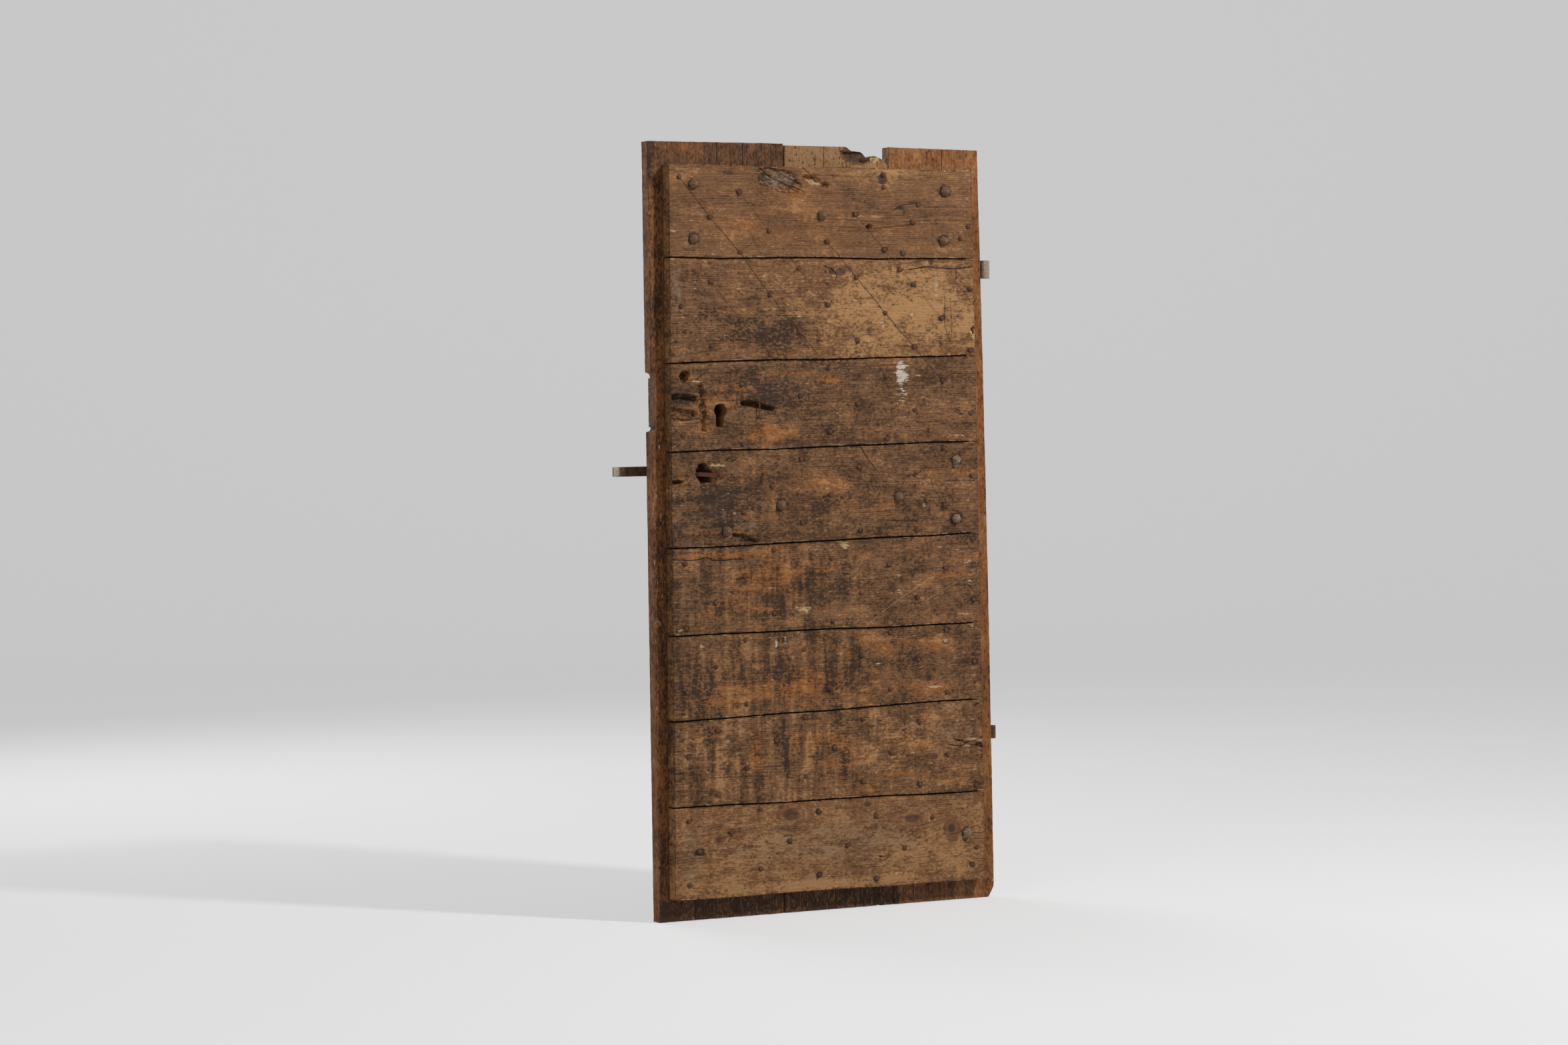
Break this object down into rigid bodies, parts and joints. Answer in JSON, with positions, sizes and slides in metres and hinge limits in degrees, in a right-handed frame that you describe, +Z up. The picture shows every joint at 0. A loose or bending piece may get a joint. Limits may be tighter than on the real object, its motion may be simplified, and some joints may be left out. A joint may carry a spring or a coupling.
{
  "type": "plank door leaf",
  "caption": "Weathered two-skin plank door leaf: crossed boards nailed through, ledges and strap hinges on the back, a lock stock behind the keyhole and a sliding bolt.",
  "frame": {"origin": "on the hinge axis, at the foot of the lower hinge eye", "axes": "+Z up along the hinge axis, +X from the bolt side to the hinge side, +Y through the leaf from the front skin to the back"},
  "size_m": [0.967, 0.1656, 1.75],
  "materials": {
    "front_pine": "old weathered pine, dry and grimy",
    "back_pine": "orange-brown old pine",
    "ledge_pine": "dusty old pine",
    "lock_wood": "smooth dark brown wood",
    "nail_iron": "dark rusted wrought iron",
    "strap_iron": "brown rusted wrought iron",
    "bolt_iron": "brown rusted wrought iron, lime on its nose"
  },
  "bodies": {
    "leaf": {"front_board_1": "front_pine", "front_board_2": "front_pine", "front_board_3": "front_pine", "front_board_4": "front_pine", "front_board_5": "front_pine", "front_board_6": "front_pine", "front_board_7": "front_pine", "front_board_8": "front_pine", "back_board_bolt_side": "back_pine", "back_board_middle": "back_pine", "back_board_hinge_side": "back_pine", "ledge_top": "ledge_pine", "ledge_middle": "ledge_pine", "ledge_foot": "ledge_pine", "lock_stock": "lock_wood", "lattice_nails": "nail_iron", "large_nails": "nail_iron", "leaning_nail": "nail_iron", "staples": "nail_iron", "hinge_strap_upper": "strap_iron", "hinge_strap_lower": "strap_iron", "strap_nails": "nail_iron", "bolt_keeper_outer": "strap_iron", "bolt_keeper_inner": "strap_iron", "keeper_nails": "nail_iron", "lock_stock_nails": "nail_iron"},
    "bolt": {"slide_bolt": "bolt_iron"}
  },
  "joints": [
    {"name": "bolt_slide", "type": "slide", "parent": "leaf", "child": "bolt", "axis": [1, 0, 0], "range_m": [0, 0.066]}
  ]
}
